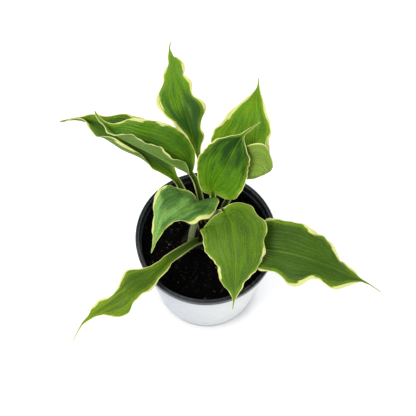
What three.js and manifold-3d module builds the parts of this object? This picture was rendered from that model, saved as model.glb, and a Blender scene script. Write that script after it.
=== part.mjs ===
// Potted hosta: a nursery pot with a blank wrap label, filled with potting mix,
// and a root crown that carries nine variegated leaves.
// Millimetres. The origin is the middle of the pot's base on the surface, +Z is up,
// and -Y is the side from which the plant shows best.

import * as THREE from 'three';
import { mergeVertices } from 'three/addons/utils/BufferGeometryUtils.js';
import Module from 'manifold-3d';

const wasm = await Module();
wasm.setup();

// The pot
const POT_HEIGHT = 170;
const RIM_RADIUS = 82.5;
const SKIRT_HEIGHT = 8.5;
const LIP_RADIUS = 77.8;
const BEAD_HEIGHT = 157;
const BEAD_RADIUS = 76.6;
const FOOT_RADIUS = 64;
const NECK_RADIUS = 80;
const WALL_THICKNESS = 1.8;
const FLOOR_THICKNESS = 2.4;
const DRAIN_HOLES = 8;
const DRAIN_RADIUS = 5;
const DRAIN_CIRCLE = 47;
const POT_SIDES = 56;

// The label wrapped round the wall
const LABEL_FOOT = 11;
const LABEL_HEAD = 160;
const LABEL_THICKNESS = 0.6;

// The running gap between pieces that touch, and how far a petiole's socket stands off it
const GAP = 0.3;
const SOCKET_GAP = 0.38;

// The potting mix
const SOIL_HEIGHT = 149;
const SOIL_SIDES = 28;
const SOIL_RINGS = 7;
const SOIL_BUMP = 1.6;

// The root crown: an ellipse seen from above
const CROWN_CENTRE = [-3, 11];
const CROWN_TURN = 34.5;
const CROWN_LONG = 30;
const CROWN_WIDE = 17;
const CROWN_SIDES = 28;
const CROWN_PROFILE = [
  [0, 119], [0.5, 121], [0.86, 132], [1, 145], [0.95, 152], [0.72, 155.5], [0.4, 156.5], [0, 156],
];

// The leaves' make-up
const LEAF_THICKNESS = 0.9;
const PETIOLE_DEPTH = 2.6;
const RIB_DEPTH = 1.3;
const PETIOLE_ROWS = 4;
const JOINT_ROWS = 3;
const JOINT_SHARE = 0.07;
const LOBE_PEAK = 0.09;
const BLADE_ROWS = 26;
const VEINS = [-1, -0.82, -0.55, -0.25, 0, 0.25, 0.55, 0.82, 1];

// The nine leaves, each from its root in the crown to its drip tip.
// base      share of the route where the petiole ends and the blade begins
// petiole   half width of the petiole along its channel, channel its rise in degrees
// route     points of the midrib, face the directions that the upper side looks in
// Each pair below is for the left and the right half, seen from root to tip.
// half      half widths from the blade's base to its tip
// fold      degrees by which the half is raised at the midrib
// curl      degrees by which it bends further up towards the margin
// wave      height of the margin's waves, their number, their start and their sideways sway
// lobe      reach of the heart-shaped base behind the joint, and degrees by which it rises
// A leaf may also have:
// joint     rows of points in the stretch where the petiole widens into the blade
// veins     its own columns of points
// roll      a line over which the right half's lobe is rolled on to the upper side
const LEAVES = [
  {
    name: 'leaf_back', base: 0.4, petiole: 3.9, channel: 38,
    route: [
      [5, 26, 146], [8, 36, 174], [5, 49, 206], [-6, 62, 236], [-17, 87, 262], [-27, 115, 279],
      [-36, 148, 283], [-41, 178, 278], [-41, 200, 270],
    ],
    face: [[0, -0.8, 0.6], [0, -0.7, 0.7], [0.1, -0.4, 0.9], [0.1, 0, 1]],
    half: [[3, 4, 15, 23, 25, 11, 6, 2, 0.5], [3, 12, 18, 21, 17, 13, 10, 2, 0.5]],
    fold: [[40, 24, 14, 10], [40, 26, 16, 12]],
    curl: [[0, -20, -20, 0], [0, -30, -30, 0]],
    wave: [[2.5, 5.4, 0.6, 2], [3.5, 5.26, 0.24, 4]],
  },
  {
    name: 'leaf_back_right', base: 0.48, petiole: 4.1, channel: 38, joint: 6,
    route: [
      [15, 20, 146], [20, 28, 178], [30, 38, 210], [41, 52, 240], [47, 75, 262], [51, 97, 278],
      [56, 122, 284], [58, 142, 282],
    ],
    face: [[-0.4, -0.6, 0.5], [-0.3, -0.7, 0.6], [-0.1, -0.6, 0.8], [0, -0.3, 0.9]],
    half: [[6, 24, 39, 41, 31, 20, 9, 1.5, 0.5], [18, 58, 42, 25, 26, 15, 8, 2.5, 0.5]],
    fold: [[30, 15, 10, 20], [10, 20, 25, 30]],
    curl: [[10, 0, 0, 0], [20, 20, 0, 0]],
    wave: [[2, 4, 0.2, 1.5], [1, 3.5, 0.5, 1]],
    lobe: [[10, 0], [34, 0]],
    roll: {
      at: [44.3, 45.4, 237.1], line: [0.771, -0.044, 0.636], up: [-0.581, -0.457, 0.673],
      radius: 4.5, turn: 160,
    },
    veins: [-1, -0.82, -0.55, -0.25, 0, 0.15, 0.3, 0.42, 0.54, 0.66, 0.78, 0.9, 1],
  },
  {
    name: 'leaf_centre', base: 0.44, petiole: 3.8, channel: 38,
    route: [
      [5, 17, 146], [7, 22, 174], [8, 27, 203], [9, 35, 226], [18, 44, 245], [27, 54, 263],
      [36, 64, 280], [46, 72, 288], [58, 81, 290],
    ],
    face: [[0, -0.8, 0.4], [0, -0.8, 0.5], [0, -0.6, 0.8], [-0.3, -0.4, 0.9]],
    half: [[3, 19, 28, 34, 32, 27, 6, 1.5, 0.4], [3, 26, 30, 29, 26, 26, 3, 1.2, 0.4]],
    fold: [[15, 12, 20, 30], [15, 14, 24, 30]],
    curl: [[20, 15, 20, 0], [20, 15, 20, 0]],
    wave: [[0.8, 3, 0.2, 0], [0.8, 3, 0.5, 0]],
    lobe: [[9, 0], [8, 0]],
  },
  {
    name: 'leaf_left_upper', base: 0.38, petiole: 3.9, channel: 38,
    route: [
      [-3, 20, 146], [-4, 29, 170], [-7, 40, 193], [-14, 52, 215], [-32, 58, 232],
      [-62, 69, 246], [-95, 84, 252], [-114, 102, 250], [-127, 122, 246],
    ],
    face: [[0, -0.5, 0.6], [-0.1, -0.3, 0.9], [-0.1, -0.3, 0.95], [0, -0.4, 0.9]],
    half: [[3, 14, 22, 25, 25, 22, 14, 6, 0.5], [5, 30, 40, 40, 33, 24, 9, 2, 0.5]],
    fold: [[90, 115, 110, 106, 106, 90, 74, 60, 50], [20, 15, 15, 30]],
    curl: [[0, 0, 0, 0], [0, 10, 10, 0]],
    wave: [[2.5, 4.25, 0.85, 0], [1.5, 4, 0.1, 1]],
  },
  {
    name: 'leaf_left_under', base: 0.34, petiole: 4.1, channel: 38,
    route: [
      [-10, 9, 146], [-15, 23, 168], [-23, 38, 188], [-33, 53, 205], [-48, 62, 216],
      [-70, 75, 224], [-97, 92, 229], [-122, 110, 229], [-149, 124, 222], [-173, 127, 214],
    ],
    face: [[0, -0.4, 0.6], [-0.1, -0.3, 0.9], [-0.1, -0.3, 0.95], [0, -0.4, 0.9]],
    half: [[5, 10, 18, 29, 28, 15, 10, 5, 0.8], [5, 18, 31, 36, 31, 17, 9, 3, 0.8]],
    fold: [[30, 15, 0, 0, 10, 30, 90, 100, 80], [20, 15, 15, 30]],
    curl: [[0, 10, 150, 165, 140, 20, 0, 0, 0], [0, 10, 10, 0]],
    wave: [[1, 4, 0, 0], [2, 4, 0.1, 1]],
  },
  {
    name: 'leaf_centre_left', base: 0.475, petiole: 3.8, channel: 38,
    route: [
      [-19, -2, 146], [-17, 1, 170], [-13, 6, 197], [-11.5, 17, 222], [-18, 9.5, 228],
      [-26, 2.8, 229], [-35.5, -2.8, 225], [-44.5, -8, 217], [-54, -16.5, 205], [-62, -29, 188],
    ],
    face: [[0.6, 0.2, 0.3], [0.7, 0.5, 0.5], [-0.2, 0, 1], [-0.5, -0.2, 0.8]],
    half: [[12, 24, 22, 12, 6, 4.5, 3, 1.5, 0.5], [3, 28, 40, 46, 41, 20, 9, 3, 0.5]],
    fold: [[5, 0, -10, -40, -50, -50, -40, -30, -20], [5, 5, 5, 0]],
    curl: [[-20, -30, -30, 0], [-15, -15, -15, 0]],
    wave: [[2, 4, 0.2, 1.5], [2, 4, 0.4, 1]],
    lobe: [[28, 11], [11, 0]],
  },
  {
    name: 'leaf_front', base: 0.4, petiole: 3.9, channel: 38,
    route: [
      [4, 8, 146], [6, 7, 172], [9, 9, 195], [18, 11, 214], [27, -4, 222], [30, -27, 223],
      [32, -50, 216], [32, -67, 198], [31, -80, 178], [30, -88, 166],
    ],
    face: [[0, 0.9, 0.3], [-0.2, 0.7, 0.5], [0, 0, 1], [0, -0.5, 0.7]],
    half: [[3, 29, 38, 35, 33, 22, 8, 2, 0.5], [3, 35, 36, 35, 26, 20, 12, 2, 0.5]],
    fold: [[14, 8, 5, 20], [-7, -1, 4, 20]],
    curl: [[-20, -35, -30, 0], [-20, -35, -30, 0]],
    wave: [[1.5, 6, 0.74, 1], [1, 4, 0.5, 0.8]],
    lobe: [[16, 0], [8, 0]],
  },
  {
    name: 'leaf_right', base: 0.33, petiole: 4.1, channel: 38,
    route: [
      [13, 11, 146], [17, 2, 172], [27, -11, 181], [45, -21, 190], [68, -29, 199],
      [102, -39, 206], [136, -51, 204], [160, -58, 193], [178, -62, 184], [197, -70, 172],
    ],
    face: [[-0.6, 0.5, 0.3], [-0.4, 0.3, 0.8], [0, 0, 1], [0.2, 0, 1]],
    half: [[10, 34, 40, 37, 29, 14, 6, 1.5, 0.5], [8, 24, 28, 29, 23, 18, 11, 1.5, 0.5]],
    fold: [[24, 16, 12, 10], [0, 0, 8, 10]],
    curl: [[0, -20, -20, 0], [0, -30, -20, 0]],
    wave: [[4, 5, 0.5, 2], [5, 3.1, 0.884, 4]],
    lobe: [[10, 0], [6, 0]],
  },
  {
    name: 'leaf_front_left', base: 0.33, petiole: 5.4, channel: 30,
    route: [
      [-4, 2, 146], [-14, -9, 165], [-30, -25, 178], [-46, -41, 188], [-62, -57, 192],
      [-80, -71, 190], [-100, -84, 182], [-123, -95, 170], [-139, -103, 158], [-151, -119, 144],
    ],
    face: [[0.4, 0.4, 0.6], [0.3, 0.3, 0.9], [0, 0, 1], [-0.3, -0.3, 0.8]],
    half: [[9, 13, 18, 16, 19, 8, 2.5, 1, 0.5], [7, 9, 17, 14, 12, 13, 4.5, 1, 0.5]],
    fold: [[35, 25, 15, 15], [35, 25, 15, 15]],
    curl: [[0, -30, -30, 0], [0, -30, -30, 0]],
    wave: [[5, 3.8, 0.088, 3], [4, 3.2, 0.104, 3.5]],
  },
];

const smooth = (x, from, to) => THREE.MathUtils.smoothstep(x, from, to);
const radians = THREE.MathUtils.degToRad;

// Value at u (0 to 1) of an even Catmull-Rom curve through the given numbers.
function curve(values, u) {
  const last = values.length - 1;
  const at = Math.min(Math.max(u, 0), 1) * last;
  const i = Math.min(Math.floor(at), last - 1);
  const w = at - i;
  const before = i > 0 ? values[i - 1] : 2 * values[0] - values[1];
  const after = i + 2 <= last ? values[i + 2] : 2 * values[last] - values[last - 1];
  const [a, b] = [values[i], values[i + 1]];
  const [ma, mb] = [(b - before) / 2, (after - a) / 2];
  return (2 * a - 2 * b + ma + mb) * w ** 3 + (3 * b - 3 * a - 2 * ma - mb) * w * w + ma * w + a;
}

function curvePoint(points, u) {
  return new THREE.Vector3(...[0, 1, 2].map((axis) => curve(points.map((p) => p[axis]), u)));
}

// Lengths along a route at even steps, to walk it at an even pace.
function routeLengths(route, steps = 400) {
  const lengths = [0];
  let from = curvePoint(route, 0);
  for (let i = 1; i <= steps; i++) {
    const to = curvePoint(route, i / steps);
    lengths.push(lengths[i - 1] + from.distanceTo(to));
    from = to;
  }
  return lengths;
}

// Share of the curve's own parameter that lies at a share of the route's length.
function paced(lengths, share) {
  const steps = lengths.length - 1;
  const target = Math.min(Math.max(share, 0), 1) * lengths[steps];
  let i = 1;
  while (i < steps && lengths[i] < target) i++;
  return (i - 1 + (target - lengths[i - 1]) / (lengths[i] - lengths[i - 1])) / steps;
}

// Rolls what lies beyond a line over on to the blade, as paper rolls.
function rolled(point, roll, part) {
  const line = new THREE.Vector3(...roll.line).normalize();
  const up = new THREE.Vector3(...roll.up);
  up.addScaledVector(line, -up.dot(line)).normalize();
  const away = new THREE.Vector3().crossVectors(line, up);
  const from = point.clone().sub(new THREE.Vector3(...roll.at));
  const beyond = Math.max(from.dot(away), 0) * part;
  const height = from.dot(up);
  const full = radians(roll.turn);
  const angle = Math.min(beyond / roll.radius, full);
  const rest = Math.max(beyond - roll.radius * full, 0);
  const reach = roll.radius * Math.sin(angle) + rest * Math.cos(full) - height * Math.sin(angle);
  const rise = roll.radius * (1 - Math.cos(angle)) + rest * Math.sin(full) + height * Math.cos(angle);
  return point.addScaledVector(away, reach - beyond).addScaledVector(up, rise - height);
}

// Point of a leaf's upper side at a share of its length and a vein (-1 left, 0 midrib, 1 right).
function leafPoint(leaf, share, vein) {
  const side = vein < 0 ? 0 : 1;
  const q = Math.abs(vein);
  const u = paced(leaf.lengths, share);
  const middle = curvePoint(leaf.route, u);
  const ahead = curvePoint(leaf.route, Math.min(u + 1e-3, 1))
    .sub(curvePoint(leaf.route, Math.max(u - 1e-3, 0)))
    .normalize();
  const right = new THREE.Vector3().crossVectors(ahead, curvePoint(leaf.face, share)).normalize();
  const up = new THREE.Vector3().crossVectors(right, ahead);

  const blade = Math.min(Math.max((share - leaf.base) / (1 - leaf.base), 0), 1);
  const on = smooth(share, leaf.base - 0.04, leaf.base + 0.06);
  const first = Math.max(leaf.half[side][0], leaf.petiole);
  const flare = leaf.lobe ? leaf.base - JOINT_SHARE : leaf.base * 0.3;
  const width =
    share < leaf.base
      ? leaf.petiole + (first - leaf.petiole) * smooth(share, flare, leaf.base)
      : Math.max(curve(leaf.half[side], blade), 0.5);
  const flat = on * smooth(width, 0.4, 4);
  const fold = radians(curve(leaf.fold[side], blade)) * flat + radians(leaf.channel) * (1 - on);
  const bend = radians(curve(leaf.curl[side], blade)) * flat + 0.6 * (1 - on);
  const curl = Math.abs(bend) < 1e-4 ? 1e-4 : bend;
  const slope = fold + curl * q;
  let across = (width * (Math.sin(slope) - Math.sin(fold))) / curl;
  let height = (-width * (Math.cos(slope) - Math.cos(fold))) / curl;

  const [crest, count, start, sway] = leaf.wave[side];
  const reachOfWaves =
    q * q * smooth(blade, 0.02, 0.16) * (1 - smooth(blade, 0.78, 0.97)) * Math.min(1, width / 10);
  const turn = 2 * Math.PI * (count * blade + start);
  const ripple = crest * reachOfWaves * Math.sin(turn);
  const swing = sway * reachOfWaves * Math.cos(turn);
  across += swing * Math.cos(slope) - ripple * Math.sin(slope);
  height += swing * Math.sin(slope) + ripple * Math.cos(slope);

  const peak = leaf.base + (1 - leaf.base) * LOBE_PEAK;
  const lobe =
    share < peak
      ? smooth(share, leaf.base - JOINT_SHARE, peak)
      : (blade / LOBE_PEAK) * Math.exp(1 - blade / LOBE_PEAK);
  const [reach, rise] = leaf.lobe ? leaf.lobe[side] : [0, 0];
  const point = middle
    .addScaledVector(right, (side ? 1 : -1) * across)
    .addScaledVector(up, height + lobe * reach * q * Math.sin(radians(rise)))
    .addScaledVector(ahead, -lobe * reach * q * Math.cos(radians(rise)));
  if (!leaf.roll || vein <= 0) return point;
  return rolled(point, leaf.roll, smooth(q, 0.1, 0.4) * smooth(share, leaf.base - JOINT_SHARE, leaf.base));
}

// Direction that the upper side looks in at a point of the leaf.
function pointNormal(leaf, share, vein) {
  const here = leafPoint(leaf, share, vein);
  const toRight = leafPoint(leaf, share, Math.min(vein + 0.04, 1)).sub(here).normalize();
  const fromLeft = here.sub(leafPoint(leaf, share, Math.max(vein - 0.04, -1))).normalize();
  const alongLeaf = leafPoint(leaf, Math.min(share + 0.004, 1), vein).sub(
    leafPoint(leaf, Math.max(share - 0.004, 0), vein),
  );
  return toRight.add(fromLeft).cross(alongLeaf).normalize();
}

// The same, evened out over a row where the blade is as thin as a thread.
function leafNormal(leaf, share, vein) {
  const middle = leafPoint(leaf, share, 0);
  const halves = [-1, 1].map((edge) => leafPoint(leaf, share, edge).distanceTo(middle));
  const own = share < leaf.base ? 1 : smooth(Math.max(...halves), 1, 7);
  return pointNormal(leaf, share, vein)
    .multiplyScalar(own)
    .addScaledVector(pointNormal(leaf, share, 0), 1 - own)
    .normalize();
}

// Thickness of the leaf: deep in the petiole, then a rib that dies out towards the tip.
function leafThickness(leaf, share, q) {
  const blade = Math.min(Math.max((share - leaf.base) / (1 - leaf.base), 0), 1);
  const on = smooth(share, leaf.base - 0.1, leaf.base + 0.03);
  const stalk = PETIOLE_DEPTH * (1 - q * q);
  const width = Math.max(curve(leaf.half[1], blade), 0.5);
  const rib = RIB_DEPTH * (1 - blade) * Math.max(0, 1 - q / 0.2) * Math.min(1, width / 12);
  return LEAF_THICKNESS + stalk * (1 - on) + rib * on;
}

// Rows of points: even ones up the petiole, close ones at the joint, then ever wider ones.
function leafRows(leaf) {
  const rows = [];
  const joint = leaf.base - JOINT_SHARE;
  const joints = leaf.joint ?? JOINT_ROWS;
  for (let i = 0; i < PETIOLE_ROWS; i++) rows.push((joint * i) / PETIOLE_ROWS);
  for (let i = 0; i < joints; i++) rows.push(joint + (JOINT_SHARE * i) / joints);
  for (let i = 0; i <= BLADE_ROWS; i++) {
    const t = i / BLADE_ROWS;
    rows.push(leaf.base + (1 - leaf.base) * (0.35 * t * t + 0.65 * t));
  }
  return rows;
}

// Closed skin round rows of upper points and lower points, cut alike on both faces.
function skin(upper, lower) {
  const rows = upper.length;
  const columns = upper[0].length;
  const points = [...upper.flat(), ...lower.flat()];
  const top = (i, k) => i * columns + k;
  const under = (i, k) => rows * columns + i * columns + k;
  const faces = [];
  const quad = (a, b, c, d) => faces.push(a, b, c, a, c, d);
  for (let i = 0; i < rows - 1; i++) {
    for (let k = 0; k < columns - 1; k++) {
      quad(top(i, k), top(i, k + 1), top(i + 1, k + 1), top(i + 1, k));
      faces.push(under(i, k), under(i + 1, k + 1), under(i, k + 1));
      faces.push(under(i, k), under(i + 1, k), under(i + 1, k + 1));
    }
    const edge = columns - 1;
    quad(top(i, edge), under(i, edge), under(i + 1, edge), top(i + 1, edge));
    quad(top(i, 0), top(i + 1, 0), under(i + 1, 0), under(i, 0));
  }
  for (let k = 0; k < columns - 1; k++) {
    quad(top(0, k), under(0, k), under(0, k + 1), top(0, k + 1));
    const end = rows - 1;
    quad(top(end, k), top(end, k + 1), under(end, k + 1), under(end, k));
  }
  return closed(points, faces);
}

function closed(points, faces) {
  const geometry = new THREE.BufferGeometry();
  geometry.setAttribute(
    'position',
    new THREE.Float32BufferAttribute(points.flatMap((p) => [p.x, p.y, p.z]), 3),
  );
  geometry.setIndex(faces);
  return geometry;
}

// Body of a leaf, fattened by grow on all sides where it is a mould for its socket.
function leafBody(leaf, rows, grow = 0) {
  const upper = [];
  const lower = [];
  for (const share of rows) {
    const top = [];
    const under = [];
    for (const vein of leaf.veins ?? VEINS) {
      const point = leafPoint(leaf, share, vein);
      const normal = leafNormal(leaf, share, vein);
      const inward = leafPoint(leaf, share, vein * 0.95).sub(point).normalize();
      const thickness = leafThickness(leaf, share, Math.abs(vein));
      if (Math.abs(vein) === 1) point.addScaledVector(inward, -grow);
      top.push(point.clone().addScaledVector(normal, grow));
      under.push(point.clone().addScaledVector(normal, -thickness - grow));
    }
    upper.push(top);
    lower.push(under);
  }
  return [upper, lower];
}

function leafGeometry(leaf) {
  return skin(...leafBody(leaf, leafRows(leaf)));
}

// Mould of the petiole's foot: it starts a gap lower and ends above the crown.
function socketGeometry(leaf) {
  const [upper, lower] = leafBody(leaf, leafRows(leaf).slice(0, 3), SOCKET_GAP);
  const down = upper[0][4].clone().sub(upper[1][4]).normalize().multiplyScalar(SOCKET_GAP);
  [...upper[0], ...lower[0]].forEach((point) => point.add(down));
  return skin(upper, lower);
}

// Closed ring or disc turned about Z from [radius, height] pairs that run
// up the outside and back down the inside or the axis.
function turned(profile, sides, place = (r, angle, z) => [r * Math.cos(angle), r * Math.sin(angle), z]) {
  const points = [];
  const rings = profile.map(([r, z]) => {
    const ring = [];
    for (let i = 0; i < (r > 0 ? sides : 1); i++) {
      ring.push(points.length);
      points.push(new THREE.Vector3(...place(r, (2 * Math.PI * i) / sides, z)));
    }
    return ring;
  });
  const faces = [];
  const closing = profile[0][0] > 0 ? rings.length : rings.length - 1;
  for (let j = 0; j < closing; j++) {
    const low = rings[j];
    const high = rings[(j + 1) % rings.length];
    for (let i = 0; i < sides; i++) {
      const next = (i + 1) % sides;
      if (low.length > 1) faces.push(low[i], low[next], high[next % high.length]);
      if (high.length > 1) faces.push(low[i % low.length], high[next], high[i]);
    }
  }
  return closed(points, faces);
}

function solid(geometry) {
  const bare = geometry.clone();
  bare.deleteAttribute('normal');
  bare.deleteAttribute('uv');
  const merged = mergeVertices(bare, 1e-4);
  return new wasm.Manifold(
    new wasm.Mesh({
      numProp: 3,
      vertProperties: new Float32Array(merged.attributes.position.array),
      triVerts: new Uint32Array(merged.index.array),
    }),
  );
}

function geometryOf(body) {
  const mesh = body.getMesh();
  const geometry = new THREE.BufferGeometry();
  geometry.setAttribute('position', new THREE.BufferAttribute(mesh.vertProperties, 3));
  geometry.setIndex(new THREE.BufferAttribute(mesh.triVerts, 1));
  return geometry;
}

const wallRadius = (z) => FOOT_RADIUS + ((NECK_RADIUS - FOOT_RADIUS) * z) / (POT_HEIGHT - SKIRT_HEIGHT);
const innerRadius = (z) => wallRadius(z) - WALL_THICKNESS;

// The pot: a tapered wall, a rim with two ridges and a skirt, a stacking bead inside.
function potBody() {
  const skirt = POT_HEIGHT - SKIRT_HEIGHT;
  const body = solid(
    turned(
      [
        [0, 0],
        [FOOT_RADIUS - 1.5, 0],
        [FOOT_RADIUS, 1.5],
        [wallRadius(skirt), skirt],
        [RIM_RADIUS - 0.6, skirt],
        [RIM_RADIUS, skirt + 0.8],
        [RIM_RADIUS, POT_HEIGHT - 0.8],
        [RIM_RADIUS - 0.7, POT_HEIGHT],
        [RIM_RADIUS - 1.7, POT_HEIGHT],
        [RIM_RADIUS - 2.3, POT_HEIGHT - 0.9],
        [RIM_RADIUS - 2.9, POT_HEIGHT - 0.3],
        [LIP_RADIUS + 0.5, POT_HEIGHT - 0.3],
        [LIP_RADIUS, POT_HEIGHT - 1],
        [LIP_RADIUS, BEAD_HEIGHT + 2],
        [BEAD_RADIUS, BEAD_HEIGHT + 1],
        [BEAD_RADIUS, BEAD_HEIGHT - 1],
        [innerRadius(BEAD_HEIGHT - 3), BEAD_HEIGHT - 3],
        [innerRadius(FLOOR_THICKNESS) - 1, FLOOR_THICKNESS],
        [0, FLOOR_THICKNESS],
      ],
      POT_SIDES,
    ),
  );
  let holes = null;
  for (let i = 0; i < DRAIN_HOLES; i++) {
    const angle = (2 * Math.PI * (i + 0.5)) / DRAIN_HOLES;
    const hole = new THREE.CylinderGeometry(DRAIN_RADIUS, DRAIN_RADIUS, 3 * FLOOR_THICKNESS, 12);
    hole.rotateX(Math.PI / 2);
    hole.translate(DRAIN_CIRCLE * Math.cos(angle), DRAIN_CIRCLE * Math.sin(angle), FLOOR_THICKNESS / 2);
    holes = holes ? holes.add(solid(hole)) : solid(hole);
  }
  return body.subtract(holes);
}

// The label: a blank band that follows the wall's taper.
function labelBody() {
  const inside = (z) => wallRadius(z) + GAP;
  return solid(
    turned(
      [
        [inside(LABEL_FOOT) + LABEL_THICKNESS, LABEL_FOOT],
        [inside(LABEL_HEAD) + LABEL_THICKNESS, LABEL_HEAD],
        [inside(LABEL_HEAD), LABEL_HEAD],
        [inside(LABEL_FOOT), LABEL_FOOT],
      ],
      POT_SIDES,
    ),
  );
}

function crownPlace(r, angle, z) {
  const turn = radians(CROWN_TURN);
  const [x, y] = [r * CROWN_LONG * Math.cos(angle), r * CROWN_WIDE * Math.sin(angle)];
  const swell = 1 + 0.05 * Math.sin(5 * angle + z * 0.12);
  return [
    CROWN_CENTRE[0] + swell * (x * Math.cos(turn) - y * Math.sin(turn)),
    CROWN_CENTRE[1] + swell * (x * Math.sin(turn) + y * Math.cos(turn)),
    z,
  ];
}

// The potting mix: it fills the pot to a finger below the rim, with an uneven top
// and a plain hole in which the crown sits.
function soilBody() {
  const floor = FLOOR_THICKNESS + GAP;
  const edge = innerRadius(SOIL_HEIGHT) - GAP - 0.4;
  const profile = [
    [0, floor],
    [innerRadius(floor) - 1 - GAP, floor],
    [edge, SOIL_HEIGHT],
  ];
  for (let i = SOIL_RINGS - 1; i >= 0; i--) profile.push([(edge * i) / SOIL_RINGS, SOIL_HEIGHT]);
  const lumpy = (r, angle, z) => {
    const [x, y] = [r * Math.cos(angle), r * Math.sin(angle)];
    const bumps = Math.sin(x * 0.31 + 1.3 * Math.sin(y * 0.17)) + Math.sin(y * 0.37 + x * 0.11 + 2);
    const rise = z === SOIL_HEIGHT ? (SOIL_BUMP * bumps) / 2 + 0.8 * (1 - (r / edge) ** 2) : 0;
    return [x, y, z + rise];
  };
  const mould = CROWN_PROFILE.map(([r, z], i) => [i ? r + (r > 0 ? GAP / CROWN_WIDE : 0) : 0, z])
    .slice(0, 5)
    .map(([r, z], i) => [r, i < 2 ? z - GAP : z]);
  mould.push([mould[4][0] + 0.06, 175], [0, 175]);
  return solid(turned(profile, SOIL_SIDES, lumpy)).subtract(solid(turned(mould, CROWN_SIDES, crownPlace)));
}

function crownBody() {
  let body = solid(turned(CROWN_PROFILE, CROWN_SIDES, crownPlace));
  for (const leaf of LEAVES) body = body.subtract(solid(socketGeometry(leaf)));
  return body;
}

const MATERIALS = {
  pot: { color: 0x1d2124, roughness: 0.5 },
  label: { color: 0xe4e6ea, roughness: 0.6 },
  soil: { color: 0x17110c, roughness: 0.95 },
  crown: { color: 0x6f7a45, roughness: 0.7 },
  leaf: { color: 0x5c8a2a, roughness: 0.45 },
};

const root = new THREE.Group();
root.name = 'potted_hosta';

function place(name, geometry, material) {
  const mesh = new THREE.Mesh(
    geometry,
    new THREE.MeshStandardMaterial({ ...MATERIALS[material], metalness: 0 }),
  );
  mesh.name = name;
  root.add(mesh);
}

for (const leaf of LEAVES) leaf.lengths = routeLengths(leaf.route);
place('pot', geometryOf(potBody()), 'pot');
place('pot_label', geometryOf(labelBody()), 'label');
place('potting_mix', geometryOf(soilBody()), 'soil');
place('root_crown', geometryOf(crownBody()), 'crown');
for (const leaf of LEAVES) place(leaf.name, leafGeometry(leaf), 'leaf');

export default root;
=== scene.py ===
# %% [markdown]
# # A potted hosta, dressed for its portrait
# The frame is the plain model: a nursery pot, its blank wrap label, the potting mix, the
# root crown and nine leaves. Each solid has the right size and place, but flat facets and
# one colour. Here each gets a finer piece or a finish that keeps its form.

# %% Load the frame
import math

import bpy
import numpy as np
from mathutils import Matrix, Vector, noise


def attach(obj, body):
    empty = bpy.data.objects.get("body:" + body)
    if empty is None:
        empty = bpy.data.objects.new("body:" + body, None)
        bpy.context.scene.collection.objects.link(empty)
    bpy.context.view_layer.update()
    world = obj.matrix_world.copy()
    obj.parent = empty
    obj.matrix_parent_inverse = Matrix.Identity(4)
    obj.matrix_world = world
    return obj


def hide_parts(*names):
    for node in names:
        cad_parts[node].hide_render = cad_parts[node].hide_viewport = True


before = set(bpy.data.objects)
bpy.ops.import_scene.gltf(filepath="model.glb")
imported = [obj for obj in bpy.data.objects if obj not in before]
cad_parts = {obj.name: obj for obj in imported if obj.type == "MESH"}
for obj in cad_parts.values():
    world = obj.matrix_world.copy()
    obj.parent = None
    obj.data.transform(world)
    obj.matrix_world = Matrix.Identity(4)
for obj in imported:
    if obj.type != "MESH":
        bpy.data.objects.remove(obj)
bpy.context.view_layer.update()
MM = 0.001
print("nodes:", sorted(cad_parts))

# %% [markdown]
# ## The view
# In the picture the pot's round rim is an ellipse. Its shape gives the camera's height
# angle, 66 degrees above level, and its size the distance. A camera looks down its own -Z,
# so a turn of 90 - 66 degrees about X tips it that way.

# %% Camera
HEIGHT_ANGLE = 66  # degrees above level
PICTURE_WIDTH = 416  # pixels
FOCAL_LENGTH = 728.9  # in the same pixels
SENSOR_WIDTH = 36  # millimetres

camera = bpy.data.objects.new("camera", bpy.data.cameras.new("camera"))
bpy.context.collection.objects.link(camera)
camera.location = (0.0023, -0.3170, 0.9593)
camera.rotation_euler = (math.radians(90 - HEIGHT_ANGLE), 0, 0)
camera.data.sensor_width = SENSOR_WIDTH
camera.data.lens = SENSOR_WIDTH * FOCAL_LENGTH / PICTURE_WIDTH
bpy.context.scene.camera = camera
print("lens in mm:", round(camera.data.lens, 1))

# %% [markdown]
# ## Light
# The plant stands in even studio light on white. A broad lamp high at the left models the
# leaves, a second one on the right fills the shadows, and a pale world lifts the rest.
# A small lamp would give hard shadows that a light tent doesn't.

# %% Lamps and world
def area_lamp(name, stands, aims, size, watts):
    lamp = bpy.data.lights.new(name, "AREA")
    lamp.shape = "DISK"
    lamp.size = size
    lamp.energy = watts
    holder = bpy.data.objects.new(name, lamp)
    holder.location = stands
    holder.rotation_euler = (Vector(aims) - Vector(stands)).to_track_quat("-Z", "Y").to_euler()
    bpy.context.collection.objects.link(holder)
    print(name, "watts:", watts)


area_lamp("key_light", (-0.75, -0.35, 1.25), (0, 0, 0.15), size=0.8, watts=12)
area_lamp("fill_light", (1.1, -0.9, 0.8), (0, 0, 0.1), size=1.2, watts=6)
area_lamp("back_light", (0.3, 1.3, 0.9), (0, 0, 0.2), size=1.0, watts=7)

world = bpy.data.worlds.new("studio")
world.use_nodes = True
sky = world.node_tree.nodes["Background"].inputs
sky["Color"].default_value = (0.96, 0.98, 1, 1)
sky["Strength"].default_value = 0.9
bpy.context.scene.world = world
bpy.context.scene.view_settings.view_transform = "Standard"

# %% [markdown]
# ## Helpers for materials
# A material is a graph of nodes. Writing each node and link in full hides the idea, so a
# few short functions add a node, set its inputs and hand back its output. A number passed
# in is set on the socket. A socket passed in is linked, and it knows which graph it is in.

# %% Node helpers
def feed(node, inputs):
    for key, value in inputs.items():
        if isinstance(value, bpy.types.NodeSocket):
            node.id_data.links.new(value, node.inputs[key])
        else:
            node.inputs[key].default_value = value


def add(tree, kind, inputs=None, family="ShaderNode", **settings):
    node = tree.nodes.new(family + kind)
    for key, value in settings.items():
        setattr(node, key, value)
    feed(node, inputs or {})
    return node


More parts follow.
